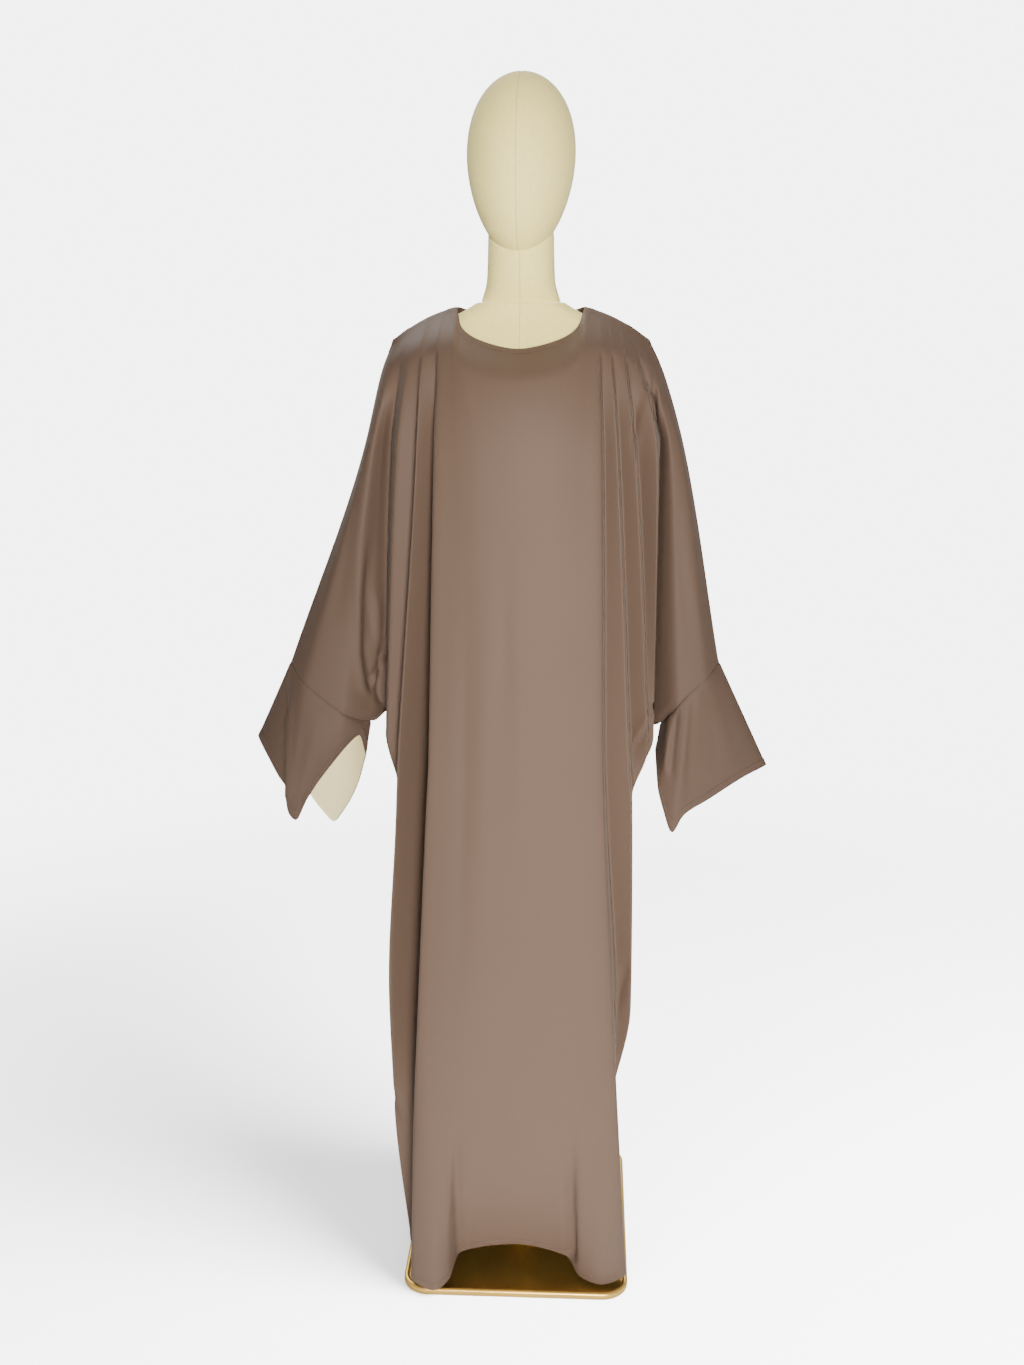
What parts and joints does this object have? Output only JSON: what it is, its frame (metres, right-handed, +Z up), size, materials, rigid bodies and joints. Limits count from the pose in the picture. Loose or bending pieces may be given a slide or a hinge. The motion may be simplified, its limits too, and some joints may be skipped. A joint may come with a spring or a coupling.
{
  "type": "closed batwing abaya cloak on a limbless dress form with a base plate",
  "caption": "Ankle-length closed batwing abaya with flared pointed cuffs, draped in folds over a limbless dress form that stands on a plate.",
  "frame": {"origin": "on the floor, at the middle of the base plate's underside", "axes": "+Z up along the stand's pole, -Y towards the abaya's front, X across the shoulders"},
  "size_m": [0.7548, 0.423, 1.75],
  "materials": {
    "taupe_crepe": "satin crepe with a soft sheen",
    "cream_lining": "matte",
    "form_linen": "matte plain weave",
    "gold_metal": "polished"
  },
  "bodies": {
    "root": {"front_panel": "taupe_crepe", "back_panel": "taupe_crepe", "cuff_left": "taupe_crepe", "cuff_right": "taupe_crepe", "cuff_lining_left": "cream_lining", "cuff_lining_right": "cream_lining", "form_torso": "form_linen", "form_neck": "form_linen", "form_head": "form_linen", "stand_pole": "gold_metal", "pole_foot": "gold_metal", "pole_socket": "gold_metal", "base_plate": "gold_metal"}
  },
  "joints": []
}
